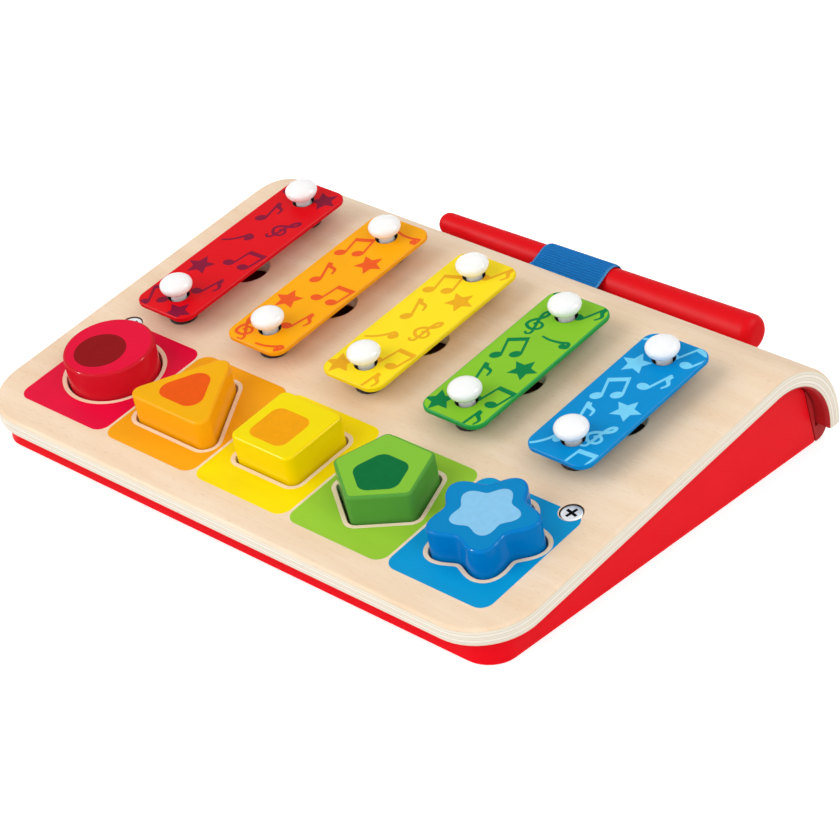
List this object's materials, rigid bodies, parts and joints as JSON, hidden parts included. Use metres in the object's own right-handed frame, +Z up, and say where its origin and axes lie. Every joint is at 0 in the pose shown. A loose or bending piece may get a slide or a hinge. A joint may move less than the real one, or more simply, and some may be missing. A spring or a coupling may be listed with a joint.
{
  "type": "shape sorter xylophone",
  "caption": "Sloping bent-plywood board on a wedge base, with sorting blocks in shaped holes, metal tone bars on pegs and foam pads, and a stick mallet in an elastic loop at the back.",
  "frame": {"origin": "on the floor, under the centre of the whole toy's box", "axes": "+X to the right along the row of blocks, +Y from the low front edge towards the bend at the back, +Z up"},
  "size_m": [0.285, 0.2302, 0.0656],
  "materials": {
    "birch_plywood": "clear satin lacquer over pale birch, bare plies on the edges, flat colour patches printed round the holes",
    "base_paint": "smooth semi-gloss red paint on wood",
    "raw_wood": "unpainted",
    "pad_foam": "matte dark closed-cell foam",
    "peg_plastic": "smooth glossy white",
    "zinc_steel": "bright zinc plating",
    "mallet_paint": "smooth semi-gloss red paint on wood",
    "elastic_webbing": "matte blue ribbed elastic",
    "red_block_paint": "glossy paint on wood with a darker or lighter figure printed on top",
    "orange_block_paint": "glossy paint on wood with a darker or lighter figure printed on top",
    "yellow_block_paint": "glossy paint on wood with a darker or lighter figure printed on top",
    "green_block_paint": "glossy paint on wood with a darker or lighter figure printed on top",
    "blue_block_paint": "glossy paint on wood with a darker or lighter figure printed on top",
    "red_bar_enamel": "glossy enamel on a flat metal plate, printed with plain notes and stars",
    "orange_bar_enamel": "glossy enamel on a flat metal plate, printed with plain notes and stars",
    "yellow_bar_enamel": "glossy enamel on a flat metal plate, printed with plain notes and stars",
    "green_bar_enamel": "glossy enamel on a flat metal plate, printed with plain notes and stars",
    "blue_bar_enamel": "glossy enamel on a flat metal plate, printed with plain notes and stars"
  },
  "bodies": {
    "base": {"top_board": "birch_plywood", "base_front_rail": "base_paint", "base_left_side": "base_paint", "base_right_side": "base_paint", "base_rear_rail": "base_paint", "bottom_panel": "raw_wood", "sorter_floor": "raw_wood", "cross_rail": "raw_wood", "left_screw_block": "raw_wood", "right_screw_block": "raw_wood", "red_front_pad": "pad_foam", "red_rear_pad": "pad_foam", "orange_front_pad": "pad_foam", "orange_rear_pad": "pad_foam", "yellow_front_pad": "pad_foam", "yellow_rear_pad": "pad_foam", "green_front_pad": "pad_foam", "green_rear_pad": "pad_foam", "blue_front_pad": "pad_foam", "blue_rear_pad": "pad_foam", "red_front_peg": "peg_plastic", "red_rear_peg": "peg_plastic", "orange_front_peg": "peg_plastic", "orange_rear_peg": "peg_plastic", "yellow_front_peg": "peg_plastic", "yellow_rear_peg": "peg_plastic", "green_front_peg": "peg_plastic", "green_rear_peg": "peg_plastic", "blue_front_peg": "peg_plastic", "blue_rear_peg": "peg_plastic", "left_screw": "zinc_steel", "right_screw": "zinc_steel", "mallet_loop": "elastic_webbing", "left_loop_tack": "zinc_steel", "right_loop_tack": "zinc_steel"},
    "round_sorting_block": {"round_block": "red_block_paint"},
    "triangle_sorting_block": {"triangle_block": "orange_block_paint"},
    "square_sorting_block": {"square_block": "yellow_block_paint"},
    "pentagon_sorting_block": {"pentagon_block": "green_block_paint"},
    "star_sorting_block": {"star_block": "blue_block_paint"},
    "red_tone_bar": {"red_bar": "red_bar_enamel"},
    "orange_tone_bar": {"orange_bar": "orange_bar_enamel"},
    "yellow_tone_bar": {"yellow_bar": "yellow_bar_enamel"},
    "green_tone_bar": {"green_bar": "green_bar_enamel"},
    "blue_tone_bar": {"blue_bar": "blue_bar_enamel"},
    "mallet_stick": {"mallet": "mallet_paint"}
  },
  "joints": [
    {"name": "round_lift", "type": "slide", "parent": "base", "child": "round_sorting_block", "axis": [0, -0.1614, 0.9869], "range_m": [0, 0.035]},
    {"name": "triangle_lift", "type": "slide", "parent": "base", "child": "triangle_sorting_block", "axis": [0, -0.1614, 0.9869], "range_m": [0, 0.035]},
    {"name": "square_lift", "type": "slide", "parent": "base", "child": "square_sorting_block", "axis": [0, -0.1614, 0.9869], "range_m": [0, 0.035]},
    {"name": "pentagon_lift", "type": "slide", "parent": "base", "child": "pentagon_sorting_block", "axis": [0, -0.1614, 0.9869], "range_m": [0, 0.035]},
    {"name": "star_lift", "type": "slide", "parent": "base", "child": "star_sorting_block", "axis": [0, -0.1614, 0.9869], "range_m": [0, 0.035]},
    {"name": "red_bar_play", "type": "slide", "parent": "base", "child": "red_tone_bar", "axis": [0, -0.1614, 0.9869], "range_m": [0, 0.002]},
    {"name": "orange_bar_play", "type": "slide", "parent": "base", "child": "orange_tone_bar", "axis": [0, -0.1614, 0.9869], "range_m": [0, 0.002]},
    {"name": "yellow_bar_play", "type": "slide", "parent": "base", "child": "yellow_tone_bar", "axis": [0, -0.1614, 0.9869], "range_m": [0, 0.002]},
    {"name": "green_bar_play", "type": "slide", "parent": "base", "child": "green_tone_bar", "axis": [0, -0.1614, 0.9869], "range_m": [0, 0.002]},
    {"name": "blue_bar_play", "type": "slide", "parent": "base", "child": "blue_tone_bar", "axis": [0, -0.1614, 0.9869], "range_m": [0, 0.002]},
    {"name": "mallet_pull", "type": "slide", "parent": "base", "child": "mallet_stick", "axis": [1, 0, 0], "range_m": [0, 0.11]}
  ]
}
